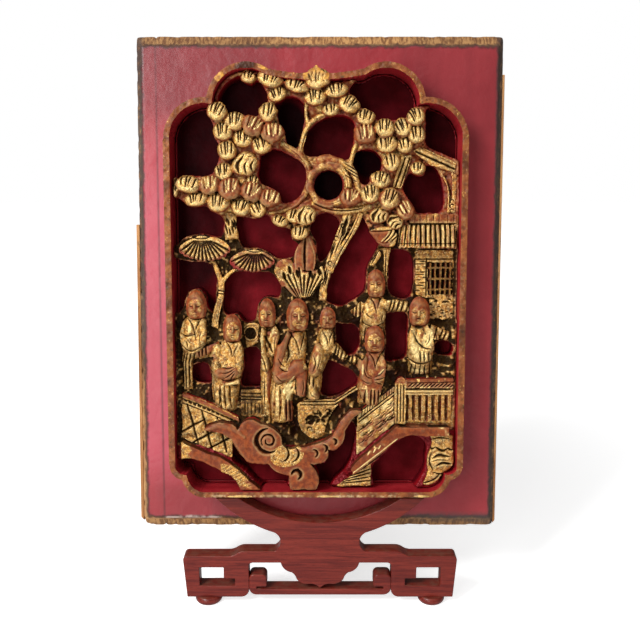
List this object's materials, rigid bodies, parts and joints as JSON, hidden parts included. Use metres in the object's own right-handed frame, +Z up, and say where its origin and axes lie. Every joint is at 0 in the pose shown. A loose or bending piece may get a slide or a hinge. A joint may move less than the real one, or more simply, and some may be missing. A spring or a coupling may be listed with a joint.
{
  "type": "table screen",
  "caption": "Carved, gilt and lacquered picture panel that leans on a fretted rosewood table stand with a folding back leg.",
  "frame": {"origin": "on the floor under the middle of the whole object's box", "axes": "+Z up, +X to the viewer's right, the carved face looks towards -Y"},
  "size_m": [0.244, 0.1204, 0.3755],
  "materials": {
    "lacquered_board": "worn red lacquer",
    "bare_wood": "bare",
    "worn_rim": "worn lacquer",
    "gilt_carving": "worn gilding",
    "rosewood": "polished",
    "peg_wood": "bare",
    "pin_brass": "dull"
  },
  "bodies": {
    "stand": {"stand_front": "rosewood", "lower_rail": "rosewood", "left_bun_foot": "rosewood", "right_bun_foot": "rosewood", "ledge_block": "rosewood", "ledge_dowels": "peg_wood", "hinge_pin": "pin_brass"},
    "leg": {"back_leg": "rosewood", "back_foot": "rosewood", "back_rest": "rosewood"},
    "panel": {"balustrade": "gilt_carving", "cloud_scroll": "gilt_carving", "fence_beam": "gilt_carving", "figure_attendant": "gilt_carving", "figure_child": "gilt_carving", "figure_front_right": "gilt_carving", "figure_left": "gilt_carving", "figure_main": "gilt_carving", "figure_parent": "gilt_carving", "figure_pavilion": "gilt_carving", "figure_raised_arms": "gilt_carving", "flower_wall": "gilt_carving", "gable_beams": "gilt_carving", "gable_loop": "gilt_carving", "leaves_centre": "gilt_carving", "leaves_left_row": "gilt_carving", "leaves_right": "gilt_carving", "leaves_small": "gilt_carving", "leaves_top": "gilt_carving", "leaves_upper_left": "gilt_carving", "left_fence": "gilt_carving", "left_lath": "bare_wood", "low_table": "gilt_carving", "main_plank": "lacquered_board", "openwork_plate": "gilt_carving", "palm_leaf_left": "gilt_carving", "palm_leaf_right": "gilt_carving", "palm_stem": "gilt_carving", "pavilion_post": "gilt_carving", "pavilion_roof": "gilt_carving", "pavilion_wall": "gilt_carving", "plank_pegs": "peg_wood", "plantain": "gilt_carving", "relief_rim": "worn_rim", "right_lath": "bare_wood", "rim_pegs": "peg_wood", "ring_ornament": "gilt_carving", "rock_column": "gilt_carving", "roof_corner": "gilt_carving", "side_plank": "lacquered_board", "small_trunk": "gilt_carving", "stair_foot": "gilt_carving", "stair_panel": "gilt_carving", "terrace_beam": "gilt_carving", "tree_branches": "gilt_carving", "tree_trunk": "gilt_carving", "window_lattice": "gilt_carving"}
  },
  "joints": [
    {"name": "leg_fold", "type": "hinge", "parent": "stand", "child": "leg", "pos_m": [0.00145, -0.01881, 0.037], "axis": [-1, 0, 0], "range_deg": [0, 65]},
    {"name": "panel_lift", "type": "slide", "parent": "stand", "child": "panel", "axis": [0, 0.1219, 0.9925], "range_m": [0, 0.12]}
  ]
}
